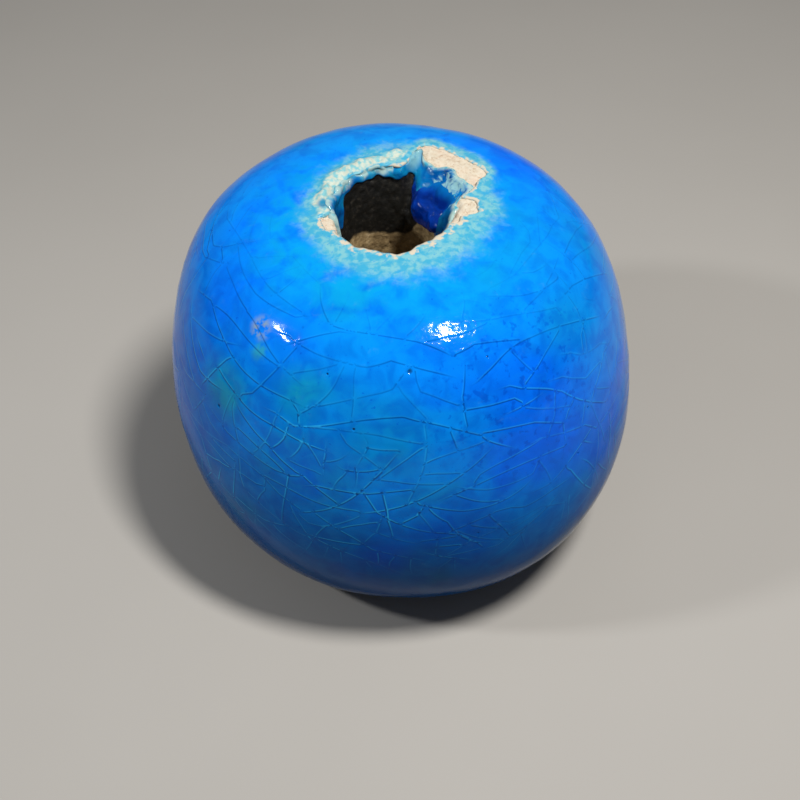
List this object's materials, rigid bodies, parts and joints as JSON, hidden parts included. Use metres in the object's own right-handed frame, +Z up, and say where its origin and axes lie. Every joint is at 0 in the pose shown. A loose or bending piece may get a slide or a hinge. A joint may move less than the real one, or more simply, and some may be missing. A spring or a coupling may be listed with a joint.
{
  "type": "guitar slide",
  "caption": "Ball-form ceramic slide: a thick glazed clay ball with a straight bore through it and a flat bare foot.",
  "frame": {"origin": "centre of the flat foot ring, on the axis of the bore", "axes": "+Z up along the bore's axis, from the foot to the worn upper mouth; +X towards the side where the glaze run hangs"},
  "size_m": [0.064, 0.064, 0.053],
  "materials": {
    "bare_clay": "unglazed, sandy and porous",
    "crackle_glaze": "glossy blue glaze with a net of fine cracks",
    "mouth_glaze": "glossy turquoise to blue glaze, thin and pale at the lip",
    "run_glaze": "thick glossy cobalt glaze"
  },
  "bodies": {
    "root": {"clay_body": "bare_clay", "outer_glaze": "crackle_glaze", "upper_mouth_glaze": "mouth_glaze", "lower_mouth_glaze": "mouth_glaze", "glaze_run": "run_glaze"}
  },
  "joints": []
}
